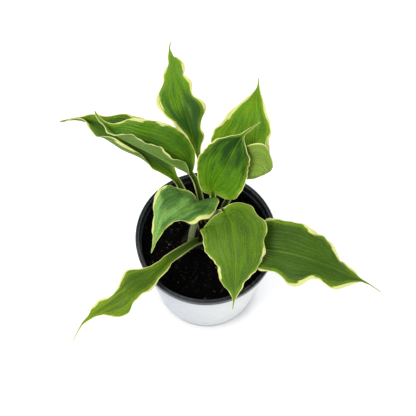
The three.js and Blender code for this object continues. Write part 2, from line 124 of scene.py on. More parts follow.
def join(kind, inputs, **settings):
    """Adds a node to the graph that its inputs come from."""
    sockets = [value for value in inputs.values() if isinstance(value, bpy.types.NodeSocket)]
    return add(sockets[0].id_data, kind, inputs, **settings)


def maths(operation, a, b=0.0):
    return join("Math", {0: a, 1: b}, operation=operation).outputs[0]


def times(a, b):
    return maths("MULTIPLY", a, b)


def ramp(value, low, high, to_low=0.0, to_high=1.0):
    """A smooth step: to_low where value is under low, to_high where it is over high."""
    span = {"Value": value, "From Min": low, "From Max": high, "To Min": to_low, "To Max": to_high}
    return join("MapRange", span, interpolation_type="SMOOTHSTEP").outputs[0]


def mix(share, a, b, blend="MIX"):
    node = join("Mix", {0: share, 6: a, 7: b}, data_type="RGBA", blend_type=blend)
    return node.outputs[2]


def own(tree, name):
    """A number that the piece carries on its points."""
    return add(tree, "Attribute", attribute_name=name).outputs["Fac"]


def place(x, y, z):
    return join("CombineXYZ", {0: x, 1: y, 2: z}).outputs[0]


def object_place(tree):
    return add(tree, "TexCoord").outputs["Object"]


def stretched(where, scale):
    """A place scaled along each axis: a scale under 1 draws a pattern out that way."""
    return join("Mapping", {"Vector": where, "Scale": scale}).outputs[0]


def grain(where, scale, detail=3.0, rough=0.5):
    inputs = {"Vector": where, "Scale": scale, "Detail": detail, "Roughness": rough}
    return join("TexNoise", inputs).outputs[0]


def new_group(name, kind, *sockets):
    """A node group, the values given to it and the inputs of its results."""
    group = bpy.data.node_groups.new(name, kind)
    for in_out, of, *labels in sockets:
        for label in labels:
            group.interface.new_socket(label, in_out=in_out, socket_type="NodeSocket" + of)
    given, results = group.nodes.new("NodeGroupInput"), group.nodes.new("NodeGroupOutput")
    return group, given.outputs, results.inputs


print("node helpers: feed, add, join, maths, ramp, mix, own, place, grain")


# %% Finish helpers
def paint(r, g, b):
    """A colour given on a 0 to 255 scale, as the linear light that shaders use."""
    to_linear = lambda c: c / 12.92 if c <= 0.04045 else ((c + 0.055) / 1.055) ** 2.4
    return tuple(to_linear(c / 255) for c in (r, g, b)) + (1.0,)


def finish(name, build):
    """A new material whose graph is filled in by build(tree, shader)."""
    material = bpy.data.materials.new(name)
    material.use_nodes = True
    tree = material.node_tree
    build(tree, tree.nodes["Principled BSDF"])
    return material


def surface(shader, colour, rough, height, distance, strength=1.0, specular=0.5):
    """Colour, roughness, relief too fine for points, and how strongly the surface mirrors."""
    bump = join("Bump", {"Height": height, "Distance": distance, "Strength": strength})
    given = {"Base Color": colour, "Roughness": rough, "Normal": bump.outputs[0]}
    feed(shader, given | {"Specular IOR Level": specular})


print("mid grey in linear light:", np.round(paint(128, 128, 128), 3))

# %% [markdown]
# ## Helpers for shapes
# Lists of points and faces become a Blender object that stands at the origin, rides on the
# frame and, where it should, takes the plain solid's place. Round things are turned, as on
# a lathe: a profile goes once round the axis.

# %% Mesh helpers
def shaped(name, points, faces):
    """An object of points in millimetres."""
    mesh = bpy.data.meshes.new(name)
    mesh.from_pydata((np.asarray(points) * MM).tolist(), [], faces)
    made = bpy.data.objects.new(name, mesh)
    bpy.context.collection.objects.link(made)
    return made


def dressed(made, material, sharp):
    made.data.shade_smooth()
    made.data.set_sharp_from_angle(angle=math.radians(sharp))
    made.data.materials.clear()
    made.data.materials.append(material)


def piece(name, points, faces, material, replaces=(), values=None, sharp=60):
    """values is {attribute name: one number for each point}."""
    made = shaped(name, points, faces)
    for key, numbers in (values or {}).items():
        carried = made.data.attributes.new(key, "FLOAT", "POINT")
        carried.data.foreach_set("value", np.asarray(numbers, np.float32))
    made.data.validate()
    dressed(made, material, sharp)
    settle(made, replaces)


def settle(made, replaces=()):
    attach(made, "root")
    if replaces:
        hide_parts(*replaces)
    print(made.name, "faces:", len(made.data.polygons))


def turned(profile, sides, shape=None):
    """Rings of points for [radius, height] pairs up the outside and back, closed at the axis."""
    points, rings, faces = [], [], []
    for r, z in profile:
        angles = np.arange(sides if r > 0 else 1) * 2 * np.pi / sides
        rings.append(range(len(points), len(points) + len(angles)))
        points += [shape(r, a, z) if shape else (r * np.cos(a), r * np.sin(a), z) for a in angles]
    pairs = list(zip(rings, rings[1:]))
    if profile[0][0] > 0:
        pairs.append((rings[-1], rings[0]))
    for low, high in pairs:
        for i in range(sides):
            j = (i + 1) % sides
            if len(high) == 1:
                faces.append((low[i], low[j], high[0]))
            elif len(low) == 1:
                faces.append((low[0], high[j], high[i]))
            else:
                faces.append((low[i], low[j], high[j], high[i]))
    return points, faces


print("faces of a turned cone:", len(turned([(0, 0), (1, 0), (0, 1)], 12)[1]))

# %% [markdown]
# ## The floor
# A studio floor is a roll of white paper. One flat white would do, but paper is never quite
# even, so two near whites drift into each other.

# %% Floor
REACH = 3000  # millimetres from the middle to each side


def floor_nodes(tree, shader):
    tone = ramp(grain(object_place(tree), 3), 0.3, 0.7)
    white = mix(tone, paint(250, 250, 250), paint(253, 253, 253))
    feed(shader, {"Base Color": white, "Roughness": 0.8})


square = [(-REACH, -REACH, 0), (REACH, -REACH, 0), (REACH, REACH, 0), (-REACH, REACH, 0)]
floor = shaped("floor", square, [(0, 1, 2, 3)])
floor.data.materials.append(finish("pale_floor", floor_nodes))
print("floor in metres:", tuple(floor.dimensions))

# %% [markdown]
# ## The leaves' shape
# A hosta leaf is one petiole and one blade. The midrib runs along a route through space,
# and on both sides the blade rises from it by an angle, bends on towards the margin and
# waves there. Veins run from the joint to the tip, so they serve as the grid's columns:
# -1 is the left margin, 0 the midrib and 1 the right margin. One formula with the same few
# numbers that the plain solid has keeps each leaf on it, however fine the grid is.
#
# Lengths are in millimetres and angles in degrees. Each list of values is spread evenly:
# - base: the petiole's share of the whole length; petiole: its half width; channel: how
#   steeply its two sides rise, 38 where it isn't given
# - route: points that the midrib passes from crown to tip; face: where its upper side looks
#
# The rest are pairs, for the left and the right half seen from root to tip:
# - half: half widths; fold: rise at the midrib; curl: the further bend up to the margin
# - wave: height, number, start and sway of the margin's waves
# - lobe: reach back and rise of the heart-shaped base; rounding and blunt shape its end
# - trim: small bulges and dents of the margin at each twentieth of the blade, 0 to the end
#   where the list stops
#
# One leaf has a roll: a line, the side it curls to, the radius and the angle of the turn.

# %% The nine leaves
LEAVES = [
    {"name": "leaf_back", "base": 0.4, "petiole": 3.9,
     "route": [[5, 26, 146], [8, 36, 174], [5, 49, 206], [-6, 62, 236], [-17, 87, 262],
       [-27, 115, 279], [-36, 148, 283], [-41, 178, 278], [-41, 200, 270]],
     "face": [[0, -0.8, 0.6], [0, -0.7, 0.7], [0.1, -0.4, 0.9], [0.1, 0, 1]],
     "half": [[3, 4, 15, 23, 25, 11, 6, 2, 0.5], [3, 12, 18, 21, 17, 13, 10, 2, 0.5]],
     "fold": [[40, 24, 14, 10], [40, 26, 16, 12]], "curl": [[0, -20, -20, 0], [0, -30, -30, 0]],
     "wave": [[2.5, 5.4, 0.6, 2], [3.5, 5.26, 0.24, 4]],
     "trim": [[0, 0, 0.5, 1, -1, -3, -1.5, 2.5, 2, 0.4, -0.5, 0, -0.5, 0.5, 0, -2, -1.5, -1, -0.4],
       [0, -1.5, -2, -3, -1.5, 0.6, 0.8, 0, 0.9, -0.3, -3.2, -2, 0.5, 3, 0.3, -1, 1, 0.5, -0.3]]},
    {"name": "leaf_back_right", "base": 0.48, "petiole": 4.1,
     "route": [[15, 20, 146], [20, 28, 178], [30, 38, 210], [41, 52, 240], [47, 75, 262],
       [51, 97, 278], [56, 122, 284], [58, 142, 282]],
     "face": [[-0.4, -0.6, 0.5], [-0.3, -0.7, 0.6], [-0.1, -0.6, 0.8], [0, -0.3, 0.9]],
     "half": [[6, 24, 39, 41, 31, 20, 9, 1.5, 0.5], [18, 58, 42, 25, 26, 15, 8, 2.5, 0.5]],
     "fold": [[30, 15, 10, 20], [10, 20, 25, 30]], "curl": [[10, 0, 0, 0], [20, 20, 0, 0]],
     "wave": [[2, 4, 0.2, 1.5], [1, 3.5, 0.5, 1]], "lobe": [[10, 0], [34, 0]],
     "roll": {"at": [44.3, 45.4, 237.1], "line": [0.771, -0.044, 0.636], "up": [-0.581, -0.457, 0.673],
       "radius": 4.5, "turn": 160},
     "trim": [[0, 0, 0, 0, 0, 0, 2, 0.3, -1, -3, -0.7, 2.4, 1.5, -0.8, -1.8, -1, 0.4],
       [0, 0, 0.8, 3, -0.7, -3, -1.5, -0.2, -0.8, -1.2, -2, -0.8, 0, -0.3, -0.9, -0.7, -0.3, -0.2]]},
    {"name": "leaf_centre", "base": 0.44, "petiole": 3.8,
     "route": [[5, 17, 146], [7, 22, 174], [8, 27, 203], [9, 35, 226], [18, 44, 245], [27, 54, 263],
       [36, 64, 280], [46, 72, 288], [58, 81, 290]],
     "face": [[0, -0.8, 0.4], [0, -0.8, 0.5], [0, -0.6, 0.8], [-0.3, -0.4, 0.9]],
     "half": [[3, 19, 28, 34, 32, 27, 6, 1.5, 0.4], [3, 26, 30, 29, 26, 26, 3, 1.2, 0.4]],
     "fold": [[15, 12, 20, 30], [15, 14, 24, 30]], "curl": [[20, 15, 20, 0], [20, 15, 20, 0]],
     "wave": [[0.8, 3, 0.2, 0], [0.8, 3, 0.5, 0]], "lobe": [[9, 0], [8, 0]],
     "trim": [[0, 1, -0.4, -0.4, 0.2, 0.9, 0.3, 0, -0.3, -0.9, -1, -1.2, -1.8, -0.8, -1.5, -0.8],
       [0, 3, 1, 0, -0.6, -0.6, -1, -1.5, -1.6, -1.4, -1.3, -2, -2.8, -2.2, -0.8, -0.3]]},
    {"name": "leaf_left_upper", "base": 0.38, "petiole": 3.9,
     "route": [[-3, 20, 146], [-4, 29, 170], [-7, 40, 193], [-14, 52, 215], [-32, 58, 232],
       [-62, 69, 246], [-95, 84, 252], [-114, 102, 250], [-127, 122, 246]],
     "face": [[0, -0.5, 0.6], [-0.1, -0.3, 0.9], [-0.1, -0.3, 0.95], [0, -0.4, 0.9]],
     "half": [[3, 14, 22, 25, 25, 22, 14, 6, 0.5], [5, 30, 40, 40, 33, 24, 9, 2, 0.5]],
     "fold": [[90, 115, 110, 106, 106, 90, 74, 60, 50], [20, 15, 15, 30]],
     "curl": [[0, 0, 0, 0], [0, 10, 10, 0]], "wave": [[2.5, 4.25, 0.85, 0], [1.5, 4, 0.1, 1]],
     "trim": [[0, 3, 1, -1.5, -4, -4, -4, -3, -2, 0, 0, -2, -3, -2, -3.5, -3.5, -3, -2.5, -1],
       [0, 3, 2.5, 0.5, -2.5, -3.5, -3, -2.6, -3.6, -4, -2.7, -0.6, 1.4, 1.1, -0.8, -1.6, -0.5, -0.3]]},
    {"name": "leaf_left_under", "base": 0.34, "petiole": 4.1,
     "route": [[-10, 9, 146], [-15, 23, 168], [-23, 38, 188], [-33, 53, 205], [-48, 62, 216],
       [-70, 75, 224], [-97, 92, 229], [-122, 110, 229], [-149, 124, 222], [-173, 127, 214]],
     "face": [[0, -0.4, 0.6], [-0.1, -0.3, 0.9], [-0.1, -0.3, 0.95], [0, -0.4, 0.9]],
     "half": [[5, 10, 18, 29, 28, 15, 10, 5, 0.8], [5, 18, 31, 36, 31, 17, 9, 3, 0.8]],
     "fold": [[30, 15, 0, 0, 10, 30, 90, 100, 80], [20, 15, 15, 30]],
     "curl": [[0, 10, 150, 165, 140, 20, 0, 0, 0], [0, 10, 10, 0]],
     "wave": [[1, 4, 0, 0], [2, 4, 0.1, 1]],
     "trim": [[0, -2, -3, -4, -6, -8, -9, -9, -8, -7, -5, -3, -1],
       [0, 0, 0, 1, 0, -1, 0, 1.5, 0.5, -1.5, 0, 2, 1, -1, 0, 0.5]]},
    {"name": "leaf_centre_left", "base": 0.475, "petiole": 3.8,
     "route": [[-19, -2, 146], [-17, 1, 170], [-13, 6, 197], [-11.5, 17, 222], [-18, 9.5, 228],
       [-26, 2.8, 229], [-35.5, -2.8, 225], [-44.5, -8, 217], [-54, -16.5, 205], [-62, -29, 188]],
     "face": [[0.6, 0.2, 0.3], [0.7, 0.5, 0.5], [-0.2, 0, 1], [-0.5, -0.2, 0.8]],
     "half": [[12, 24, 22, 12, 6, 4.5, 3, 1.5, 0.5], [3, 28, 40, 46, 41, 20, 9, 3, 0.5]],
     "fold": [[5, 0, -10, -40, -50, -50, -40, -30, -20], [5, 5, 5, 0]],
     "curl": [[-20, -30, -30, 0], [-15, -15, -15, 0]], "wave": [[2, 4, 0.2, 1.5], [2, 4, 0.4, 1]],
     "lobe": [[28, 11], [11, 0]], "rounding": 0.65, "blunt": 0.2,
     "trim": [
       [0, 0.5, 0, -2, -1, -3.5, 1.5, 3.5, -1.5, -3.5, -3, -2, -1.6, -1.4, -1.2, -0.9, -0.6, -0.4],
       [0, -1, 2, 2.5, 1, 0, -0.5, -2, -3.5, -4, -3, 1, 2.5, 0, -1, 0.5, 1, 0.5, -0.3]]},
    {"name": "leaf_front", "base": 0.4, "petiole": 3.9,
     "route": [[4, 8, 146], [6, 7, 172], [9, 9, 195], [18, 11, 214], [27, -4, 222], [30, -27, 223],
       [32, -50, 216], [32, -67, 198], [31, -80, 178], [30, -88, 166]],
     "face": [[0, 0.9, 0.3], [-0.2, 0.7, 0.5], [0, 0, 1], [0, -0.5, 0.7]],
     "half": [[3, 29, 38, 35, 33, 22, 8, 2, 0.5], [3, 35, 36, 35, 26, 20, 12, 2, 0.5]],
     "fold": [[14, 8, 5, 20], [-7, -1, 4, 20]], "curl": [[-20, -35, -30, 0], [-20, -35, -30, 0]],
     "wave": [[1.5, 6, 0.74, 1], [1, 4, 0.5, 0.8]], "lobe": [[16, 0], [8, 0]],
     "trim": [[0, 1, 1.5, -2, 0, 0.5, 0.5, -1.5, 0, 0, -1.5, -4, -3, -1, -3, 0, 1.5, 0.5],
       [0, 2, 2, 0, -1, 0.8, 0.3, -1.3, -3, -2.8, -1.4, -2, -1.5, -1, 0, 0, -1, -0.6]]},
    {"name": "leaf_right", "base": 0.33, "petiole": 4.1,
     "route": [[13, 11, 146], [17, 2, 172], [27, -11, 181], [45, -21, 190], [68, -29, 199],
       [102, -39, 206], [136, -51, 204], [160, -58, 193], [178, -62, 184], [197, -70, 172]],
     "face": [[-0.6, 0.5, 0.3], [-0.4, 0.3, 0.8], [0, 0, 1], [0.2, 0, 1]],
     "half": [[10, 34, 40, 37, 29, 14, 6, 1.5, 0.5], [8, 24, 28, 29, 23, 18, 11, 1.5, 0.5]],
     "fold": [[24, 16, 12, 10], [0, 0, 8, 10]], "curl": [[0, -20, -20, 0], [0, -30, -20, 0]],
     "wave": [[4, 5, 0.5, 2], [5, 3.1, 0.884, 4]], "lobe": [[10, 0], [6, 0]],
     "trim": [[0, 0, 2, -1, 0.4, -0.3, -3.5, -4, -1, 1, -3, -3.5, -1.5, 2.5, -0.5, -0.4, -1, -1, -0.4],
       [0, 0, 2, 3.5, 1, 1.3, 3, 1.7, 0, -4, -1.5, 2.6, 3, 1.4, -3.5, -4, -2.5, -0.5]]},
    {"name": "leaf_front_left", "base": 0.33, "petiole": 5.4, "channel": 30,
     "route": [[-4, 2, 146], [-14, -9, 165], [-30, -25, 178], [-46, -41, 188], [-62, -57, 192],
       [-80, -71, 190], [-100, -84, 182], [-123, -95, 170], [-139, -103, 158], [-151, -119, 144]],
     "face": [[0.4, 0.4, 0.6], [0.3, 0.3, 0.9], [0, 0, 1], [-0.3, -0.3, 0.8]],
     "half": [[9, 13, 18, 16, 19, 8, 2.5, 1, 0.5], [7, 9, 17, 14, 12, 13, 4.5, 1, 0.5]],
     "fold": [[35, 25, 15, 15], [35, 25, 15, 15]], "curl": [[0, -30, -30, 0], [0, -30, -30, 0]],
     "wave": [[5, 3.8, 0.088, 3], [4, 3.2, 0.104, 3.5]],
     "trim": [[0, 1.6, 2.5, -2, -4.5, -4.5, -3, 1.5, 1.5, 0.4, -2.7, -2.7, -0.4, 0.7, -1.5, -0.8],
       [0, -1.5, 0.4, 2.5, 0.3, -0.8, 0.7, 0.6, 0.6, 1.5, 0, -3.6, -4, -4, -0.2, 1, 0.5, -0.3]]},
]
print("leaves:", len(LEAVES))

# %% [markdown]
# ## Smooth curves through few numbers
# Nothing on a leaf is straight, so each short list becomes a curve through every value, a
# Catmull-Rom spline. A fitted polynomial would swing between the values. The midrib is
# such a curve in space, read by its length so that the grid's rows lie evenly on it.

# %% Curves and the midrib
def smooth(x, low, high):
    t = np.clip((x - low) / (high - low), 0, 1)
    return t * t * (3 - 2 * t)


def unit(v):
    return v / np.maximum(np.linalg.norm(v, axis=-1, keepdims=True), 1e-9)


def curve(values, u):
    """A smooth curve through evenly spaced values, read at u from 0 to 1."""
    p = np.asarray(values, float).reshape(len(values), -1)
    last = len(p) - 1
    p = np.vstack([2 * p[0] - p[1], p, 2 * p[-1] - p[-2]])
    at = np.clip(u, 0, 1) * last
    i = np.minimum(at.astype(int), last - 1)
    w = (at - i)[:, None]
    a, b = p[i + 1], p[i + 2]
    slope_a, slope_b = (b - p[i]) / 2, (p[i + 3] - a) / 2
    cubic = (2 * a - 2 * b + slope_a + slope_b) * w**3
    return cubic + (3 * b - 3 * a - 2 * slope_a - slope_b) * w**2 + slope_a * w + a


def midrib(leaf, share):
    """Points along the route at shares of its length, and the directions ahead, right and up."""
    route = leaf["route"]
    u = np.linspace(0, 1, 401)
    steps = np.linalg.norm(np.diff(curve(route, u), axis=0), axis=1)
    length = np.concatenate([[0], np.cumsum(steps)])
    at = np.interp(share * length[-1], length, u)
    ahead = unit(curve(route, np.minimum(at + 1e-3, 1)) - curve(route, np.maximum(at - 1e-3, 0)))
    right = unit(np.cross(ahead, curve(leaf["face"], share)))
    return curve(route, at), ahead, right, np.cross(right, ahead)


def on_blade(leaf, share):
    """0 on the petiole and at the joint, 1 at the tip."""
    return np.clip((share - leaf["base"]) / (1 - leaf["base"]), 0, 1)


print("half way up the back leaf:", midrib(LEAVES[0], np.array([0.5]))[0].round(1))

# %% [markdown]
# ## The outline and the lobes
# The half width follows its list, and the petiole flares into it just before the joint.
# Rows near the joint are drawn back, most at the margin, which gives the heart shape. One
# lobe is rolled over on to its blade like paper: what lies beyond a line is wound round it,
# which keeps every length as it is.

# %% Widths, lobes and the roll
JOINT_SHARE = 0.07  # of the whole length, where the petiole flares into a lobed blade
LOBE_PEAK = 0.09  # of the blade, where a lobe reaches furthest back
THINNEST = 0.4  # half width at which a margin stops narrowing
TRIM_POINTS = 21


def half_width(leaf, side, share):
    base, petiole = leaf["base"], leaf["petiole"]
    first = max(leaf["half"][side][0], petiole)
    flare = base - JOINT_SHARE if "lobe" in leaf else base * 0.3
    wide = np.maximum(curve(leaf["half"][side], on_blade(leaf, share))[:, 0], 0.5)
    return np.where(share < base, petiole + (first - petiole) * smooth(share, flare, base), wide)


def trimmed(leaf, side, share):
    """The small bulges and dents of the margin, which the plain solid leaves out."""
    given = leaf["trim"][side]
    given = given + [0] * (TRIM_POINTS - len(given))
    return curve(given, on_blade(leaf, share))[:, 0]


def drawn_back(leaf, share):
    """How much of its lobe's reach each row has: all of it at the peak, less beside it."""
    base, blade = leaf["base"], on_blade(leaf, share)
    peak = base + (1 - base) * LOBE_PEAK
    early = smooth(share, base - JOINT_SHARE, peak)
    late = blade / LOBE_PEAK * np.exp(1 - blade / LOBE_PEAK)
    return np.where(share < peak, early, late)[:, None]


def rolled(points, roll, part):
    """Rolls what lies beyond a line over on to the blade, as paper rolls."""
    line = unit(np.array(roll["line"]))
    up = np.array(roll["up"])
    up = unit(up - line * up.dot(line))
    away = np.cross(line, up)
    start = points - np.array(roll["at"])
    beyond = np.maximum(start @ away, 0) * part
    height = start @ up
    full, radius = math.radians(roll["turn"]), roll["radius"]
    angle = np.minimum(beyond / radius, full)
    rest = np.maximum(beyond - radius * full, 0)
    reach = radius * np.sin(angle) + rest * math.cos(full) - height * np.sin(angle)
    rise = radius * (1 - np.cos(angle)) + rest * math.sin(full) + height * np.cos(angle)
    return points + (reach - beyond)[..., None] * away + (rise - height)[..., None] * up


print("left half widths:", [half_width(leaf, 0, np.array([0.7]))[0].round(1) for leaf in LEAVES])

# %% [markdown]
# ## The surface of a leaf
# Across the leaf each half is an arc: it leaves the midrib at the fold's angle and bends on
# by the curl. The petiole is the same arc, narrow and steep: a channel that opens into the
# blade without a seam. Waves are strongest at the margin, because a blade that grows faster
# there has to ruffle.

# %% Surface of a leaf
OPENING = 0.04, 0.06  # shares before and after the joint over which the channel opens
CHANNEL_RISE, CHANNEL_CURL = 38, 0.6  # degrees and radians
WAVES_RISE, WAVES_FADE = (0.02, 0.16), (0.78, 0.97)  # along the blade
FULL_WAVES = 10  # half width from which the waves have their full height
ROLL_STARTS, ROLL_FULL = 0.1, 0.4  # across the rolled half, from midrib to margin


def margin_wave(leaf, side, blade, width, q):
    """How far the waves lift the blade out of its slope and sway it along that slope."""
    crest, count, start, sway = leaf["wave"][side]
    reach = q * q * smooth(blade, *WAVES_RISE) * (1 - smooth(blade, *WAVES_FADE))
    reach = reach * np.minimum(1, width / FULL_WAVES)
    turn = 2 * np.pi * (count * blade + start)
    return crest * reach * np.sin(turn), sway * reach * np.cos(turn)


def half_section(leaf, side, share, q):
    """Distance from the midrib and height over it for one half, rows by veins."""
    base, blade = leaf["base"], on_blade(leaf, share)[:, None]
    opened = smooth(share, base - OPENING[0], base + OPENING[1])[:, None]
    width = half_width(leaf, side, share) + trimmed(leaf, side, share)
    width = np.maximum(width, THINNEST)[:, None]
    flat = opened * smooth(width, THINNEST, 4)
    fold = np.radians(curve(leaf["fold"][side], blade[:, 0])) * flat
    fold = fold + math.radians(leaf.get("channel", CHANNEL_RISE)) * (1 - opened)
    curl = np.radians(curve(leaf["curl"][side], blade[:, 0])) * flat + CHANNEL_CURL * (1 - opened)
    curl = np.where(np.abs(curl) < 1e-4, 1e-4, curl)
    slope = fold + curl * q
    across = width * (np.sin(slope) - np.sin(fold)) / curl
    height = -width * (np.cos(slope) - np.cos(fold)) / curl
    ripple, swing = margin_wave(leaf, side, blade, width, q)
    across = across + swing * np.cos(slope) - ripple * np.sin(slope)
    height = height + swing * np.sin(slope) + ripple * np.cos(slope)
    return across, height


def upper_side(leaf, share, vein):
    """Points of the upper side, rows by veins, in millimetres."""
    middle, ahead, right, up = (v[:, None, :] for v in midrib(leaf, share))
    base, lobe = leaf["base"], drawn_back(leaf, share)
    points = np.empty((len(share), len(vein), 3))
    for side, chosen in enumerate((vein < 0, vein >= 0)):
        q = np.abs(vein[chosen])[None, :]
        across, height = half_section(leaf, side, share, q)
        behind, lift = leaf.get("lobe", [[0, 0], [0, 0]])[side]
        behind = behind * (q + leaf.get("rounding", 0) * q * (1 - q) - leaf.get("blunt", 0) * q**6)
        height = height + lobe * behind * math.sin(math.radians(lift))
        back = lobe * behind * math.cos(math.radians(lift))
        half = middle + right * ((1 if side else -1) * across)[..., None]
        half = half + up * height[..., None] - ahead * back[..., None]
        if side and "roll" in leaf:
            part = smooth(q, ROLL_STARTS, ROLL_FULL)
            part = part * smooth(share, base - JOINT_SHARE, base)[:, None]
            half = rolled(half, leaf["roll"], part)
        points[:, chosen] = half
    return points


print("a leaf's points:", upper_side(LEAVES[0], np.linspace(0, 1, 5), np.linspace(-1, 1, 3)).shape)

# %% [markdown]
# ## Which way the surface looks
# The thickness is laid off square to the surface. Two short steps, one along and one
# across, give that direction at each point. Near the tip and on the petiole the blade is
# thread thin and such steps tremble, so there the midrib's direction serves the whole row.

# %% Directions
STEP_ACROSS, STEP_ALONG = 0.02, 0.002
THREAD, FULL = 1, 7  # half widths between which a row gets its own directions


def facing(leaf, share, vein, here):
    """Directions that the upper side looks in, evened out where the blade is thread thin."""
    to_right = unit(upper_side(leaf, share, np.minimum(vein + STEP_ACROSS, 1)) - here)
    from_left = unit(here - upper_side(leaf, share, np.maximum(vein - STEP_ACROSS, -1)))
    along = upper_side(leaf, np.minimum(share + STEP_ALONG, 1), vein)
    along = along - upper_side(leaf, np.maximum(share - STEP_ALONG, 0), vein)
    normal = unit(np.cross(to_right + from_left, along))
    middle = len(vein) // 2
    reach = np.linalg.norm(here[:, [0, -1]] - here[:, [middle]], axis=2).max(axis=1)
    steady = np.where(share < leaf["base"], 1, smooth(reach, THREAD, FULL))[:, None, None]
    return unit(normal * steady + normal[:, [middle]] * (1 - steady))


some_rows, some_veins = np.linspace(0.5, 0.9, 5), np.linspace(-1, 1, 3)
some_points = upper_side(LEAVES[0], some_rows, some_veins)
print("the back leaf looks:", facing(LEAVES[0], some_rows, some_veins, some_points)[2, 1].round(2))

# %% [markdown]
# ## The leaves' relief
# Between its veins a hosta blade is puffed up, along them it is drawn in, and the midrib
# lies in a groove. A bump map could draw such relief, but from the side and in the exported
# mesh only real height counts, so it is in the points, a few tenths of a millimetre deep.
# The petiole is a deep channel that thins out into the rib.

# %% Relief and thickness
VEINS_PER_HALF = 8
VEIN_SPREAD = 0.92  # under 1 the veins stand closer near the margin
PUFF, GROOVE, FRILL, DENT = 0.42, 0.55, 0.6, 0.5  # heights in millimetres
GROOVE_WIDTH, RIB_WIDTH = 1.6, 1.8
BLADE_SKIN, EDGE_THINNING, STALK_SKIN = 0.6, 0.25, 0.9
STALK_DEPTH, RIB_DEPTH = 2.6, 1.3


def relief(leaf, share, vein, number):
    blade = on_blade(leaf, share)[:, None]
    q = np.abs(vein)[None, :]
    width = np.stack([half_width(leaf, side, share) for side in (0, 1)], axis=1)
    width = width[:, (vein >= 0).astype(int)]
    wide = np.minimum(1, width / 22)
    on = smooth(blade, 0.01, 0.12) * (1 - smooth(blade, 0.86, 1))
    puffed = PUFF * wide * on * (np.abs(np.sin(np.pi * VEINS_PER_HALF * q**VEIN_SPREAD)) - 0.62)
    groove = -GROOVE * wide * on * np.exp(-((q * width / GROOVE_WIDTH) ** 2))
    frills = np.sin(2 * np.pi * (11 + number % 4) * blade + 1.7 * number)
    frill = FRILL * wide * on * q**5 * frills
    dent = DENT * wide * on * np.sin(9 * blade + 5 * vein[None, :] + number)
    dent = dent * np.sin(5 * q + 2.3 * number)
    return puffed + groove + frill + dent, width


def thickness(leaf, share, vein, width):
    base, blade = leaf["base"], on_blade(leaf, share)[:, None]
    q = np.abs(vein)[None, :]
    on = smooth(share, base - 0.1, base + 0.03)[:, None]
    skin = STALK_SKIN * (1 - on) + (BLADE_SKIN - EDGE_THINNING * q**8) * on
    stalk = STALK_DEPTH * (1 - q * q) * (1 - on)
    rib = RIB_DEPTH * (1 - blade) * np.exp(-((q * width / RIB_WIDTH) ** 2))
    return skin + stalk + rib * np.minimum(1, width / 12) * on


deep, wide_there = relief(LEAVES[0], some_rows, some_veins, 0)
skin_there = thickness(LEAVES[0], some_rows, some_veins, wide_there)
print("relief and thickness:", deep[2].round(2), skin_there[2].round(2))

# %% [markdown]
# ## The leaves' pattern
# A cream margin reaches into the green in short streaks along the veins, beside it lies a
# band of paler green, and fine veins are lighter. All of it follows the veins, so the nodes
# read what each point carries: along, across and reach, the half width there. The pattern
# serves all nine leaves, whose greens differ, so it is a node group that puts out masks.

# %% Leaf pattern group
MASKS = ("Cream", "Pale", "Vein", "Midrib", "Patch", "Fibre")


def streaks(along, across, seed, per_length, per_width):
    """A place for noise that is drawn out along the veins."""
    return place(times(along, per_length), times(across, per_width), seed)


def margin_masks(along, across, reach, margin, seed, streaked):
    """The cream margin, ragged with streaks and wide in blots, and the pale green beside it."""
    inside = times(maths("SUBTRACT", 1, maths("ABSOLUTE", across)), reach)
    waved = place(times(along, 6), maths("SIGN", across), seed)
    tongue = ramp(grain(streaked, 1, 4), 0.35, 0.65, 0.6, 1.2)
    blot = ramp(grain(waved, 1, 1), 0.4, 0.68, 0.8, 3.6)
    edge = times(margin, times(tongue, blot))
    edge = times(edge, ramp(along, 0.05, 0.35, 0.22, 1))
    edge = maths("MINIMUM", edge, times(reach, 0.22))
    cream = ramp(maths("SUBTRACT", inside, edge), -0.25, 0.45, 1, 0)
    reach_in = times(grain(streaked, 1.6, 3), 10)
    pale = ramp(maths("SUBTRACT", inside, reach_in), -3, 3, 1, 0)
    return cream, pale


def vein_masks(along, across, reach, streaked):
    """Thin lines over the creases of the relief, faint in places, and the midrib."""
    q = maths("ABSOLUTE", across)
    lines = times(maths("POWER", q, VEIN_SPREAD), math.pi * VEINS_PER_HALF)
    lines = maths("ABSOLUTE", maths("SINE", lines))
    fade = times(ramp(along, 0, 0.08), ramp(along, 0.8, 1, 1, 0))
    faint = ramp(grain(streaked, 0.7, 2), 0.35, 0.65, 0.25, 1)
    vein = times(ramp(lines, 0, 0.2, 1, 0), times(fade, faint))
    rib_width = ramp(along, 0, 0.9, 1.5, 0.5)
    from_rib = maths("DIVIDE", times(q, reach), rib_width)
    return vein, ramp(from_rib, 0.3, 1, 1, 0)


def leaf_pattern():
    given = "INPUT", "Float", "Margin", "Seed", "Deepen"
    results = "OUTPUT", "Float", *MASKS
    group, given, results = new_group("leaf_pattern", "ShaderNodeTree", given, results)
    margin, seed = given["Margin"], given["Seed"]
    along, across, reach = (own(group, name) for name in ("along", "across", "reach"))
    streaked = streaks(along, across, seed, 5, 22)
    cream, pale = margin_masks(along, across, reach, margin, seed, streaked)
    vein, rib = vein_masks(along, across, reach, streaked)
    drift = grain(streaks(along, across, seed, 3, 2.5), 1.1, 2)
    # painted shade: a ramp along the leaf darkens its green towards the tip, or towards the joint where
    # it is below zero
    painted_shade = times(maths("SUBTRACT", 0.45, along), given["Deepen"])
    patch_and_shade = ramp(maths("ADD", drift, painted_shade), 0.3, 0.7)
    fibre = grain(streaks(along, across, seed, 3, 30), 1, 3)
    for name, mask in zip(MASKS, (cream, pale, vein, rib, patch_and_shade, fibre)):
        group.links.new(mask, results[name])
    return group


LEAF_PATTERN = leaf_pattern()
print("leaf pattern nodes:", len(LEAF_PATTERN.nodes))
